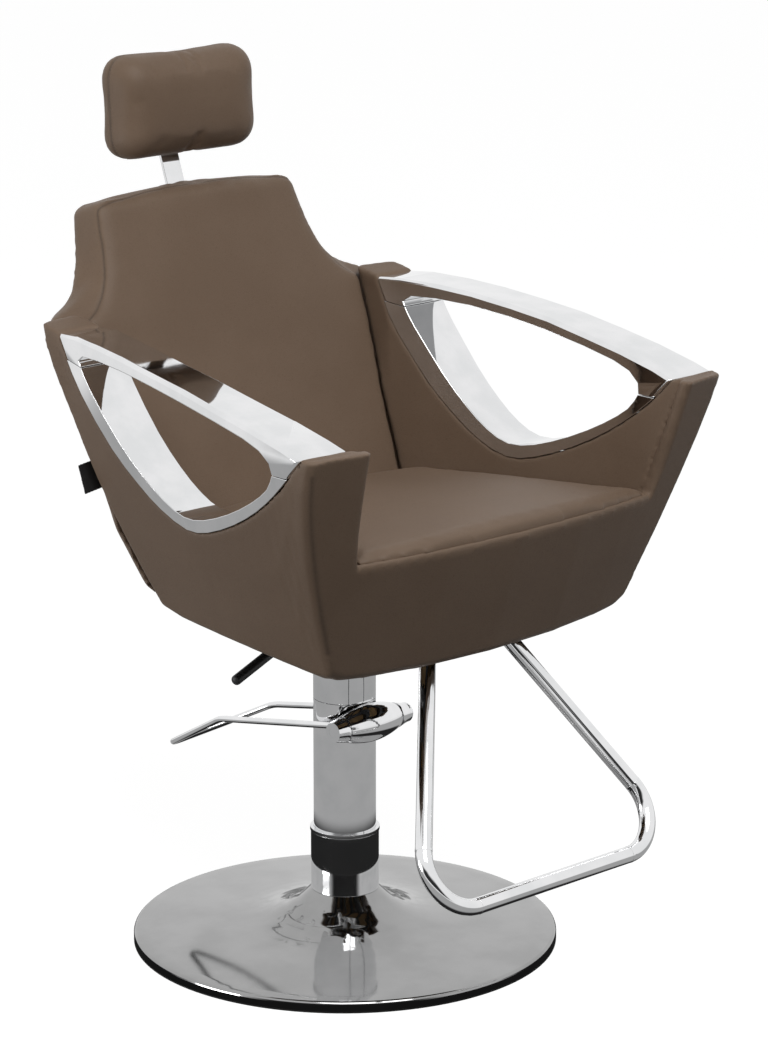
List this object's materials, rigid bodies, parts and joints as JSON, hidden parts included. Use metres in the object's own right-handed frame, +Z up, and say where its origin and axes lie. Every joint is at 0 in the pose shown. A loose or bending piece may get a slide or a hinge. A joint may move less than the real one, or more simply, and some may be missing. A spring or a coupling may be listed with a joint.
{
  "type": "threading chair",
  "caption": "Reclining upholstered salon chair on a hydraulic column with a round base, a foot pedal, a footrest loop, open metal armrests and a sliding headrest.",
  "frame": {"origin": "centre of the floor disc's underside, on the column's axis", "axes": "+Z up, the chair faces -Y, +X is towards the sitter's left"},
  "size_m": [0.743, 0.7779, 1.1911],
  "materials": {
    "disc_steel": "polished",
    "column_chrome": "mirror",
    "arm_metal": "mirror polished sheet",
    "pump_metal": "satin",
    "dark_plastic": "matte",
    "pad_rubber": "matte",
    "frame_steel": "satin",
    "weight_iron": "raw",
    "rod_steel": "ground",
    "upholstery": "smooth synthetic leather",
    "plywood": "raw",
    "tab_fabric": "woven"
  },
  "bodies": {
    "base": {"base_cover": "disc_steel", "weight_plate": "weight_iron", "floor_pad": "pad_rubber", "column_flange": "frame_steel", "flange_bolts": "rod_steel", "pump_cylinder": "column_chrome", "column_collar": "column_chrome", "collar_ring": "column_chrome", "guide_bush": "dark_plastic", "pump_head": "pump_metal"},
    "pedal": {"pedal_shaft": "rod_steel", "pedal_loop": "column_chrome", "pump_end_cap": "pump_metal"},
    "plunger": {"pump_plunger": "rod_steel"},
    "lift": {"lift_rod": "rod_steel", "rod_piston": "dark_plastic", "column_sleeve": "column_chrome", "swivel_cone": "frame_steel"},
    "seat": {"swivel_plate": "frame_steel", "plate_bolts": "rod_steel", "seat_frame": "frame_steel", "seat_board": "plywood", "seat_cushion": "upholstery", "front_panel": "upholstery", "side_panel_right": "upholstery", "side_panel_left": "upholstery", "window_liner_right": "arm_metal", "window_liner_left": "arm_metal", "arm_plate_right": "arm_metal", "arm_plate_left": "arm_metal", "panel_brackets": "frame_steel", "footrest_loop": "column_chrome", "footrest_sockets": "frame_steel", "footrest_bolts": "rod_steel", "gas_spring_tube": "dark_plastic", "hinge_brackets": "frame_steel", "lever_block": "frame_steel"},
    "lever": {"lever_rod": "rod_steel", "lever_grip": "dark_plastic"},
    "spring_rod": {"gas_spring_rod": "rod_steel"},
    "back": {"back_frame": "frame_steel", "hinge_pins": "rod_steel", "back_cushion": "upholstery", "back_shell": "upholstery", "headrest_socket": "dark_plastic", "side_tab": "tab_fabric"},
    "headrest": {"headrest_bar": "column_chrome", "headrest_bracket": "dark_plastic", "headrest_board": "plywood", "headrest_pad": "upholstery"}
  },
  "joints": [
    {"name": "lift", "type": "slide", "parent": "base", "child": "lift", "axis": [0, 0, 1], "range_m": [0, 0.13]},
    {"name": "swivel", "type": "hinge", "parent": "lift", "child": "seat", "pos_m": [0, 0, 0.475], "axis": [0, 0, 1], "continuous": true},
    {"name": "pump_pedal", "type": "hinge", "parent": "base", "child": "pedal", "pos_m": [0, -0.048, 0.316], "axis": [-1, 0, 0], "range_deg": [0, 14], "stiffness_Nm_per_rad": 12, "springref_deg": -20.05},
    {"name": "plunger_stroke", "type": "slide", "parent": "base", "child": "plunger", "axis": [0, 0, -1], "range_m": [0, 0.001]},
    {"name": "release_lever", "type": "hinge", "parent": "seat", "child": "lever", "pos_m": [-0.089, -0.008, 0.45494], "axis": [0, 1, 0], "range_deg": [0, 8], "stiffness_Nm_per_rad": 2, "springref_deg": -11.46},
    {"name": "recline", "type": "hinge", "parent": "seat", "child": "back", "pos_m": [0, 0.09, 0.515], "axis": [-1, 0, 0], "range_deg": [0, 35]},
    {"name": "gas_spring_stroke", "type": "slide", "parent": "seat", "child": "spring_rod", "axis": [0, -1, 0], "range_m": [0, 0.0235]},
    {"name": "headrest_height", "type": "slide", "parent": "back", "child": "headrest", "axis": [0, 0.3256, 0.9455], "range_m": [-0.034, 0.06]}
  ],
  "couplings": [
    {"joint": "plunger_stroke", "follows": "pump_pedal", "m_per_rad": 0.0036},
    {"joint": "gas_spring_stroke", "follows": "recline", "m_per_rad": 0.0376}
  ]
}
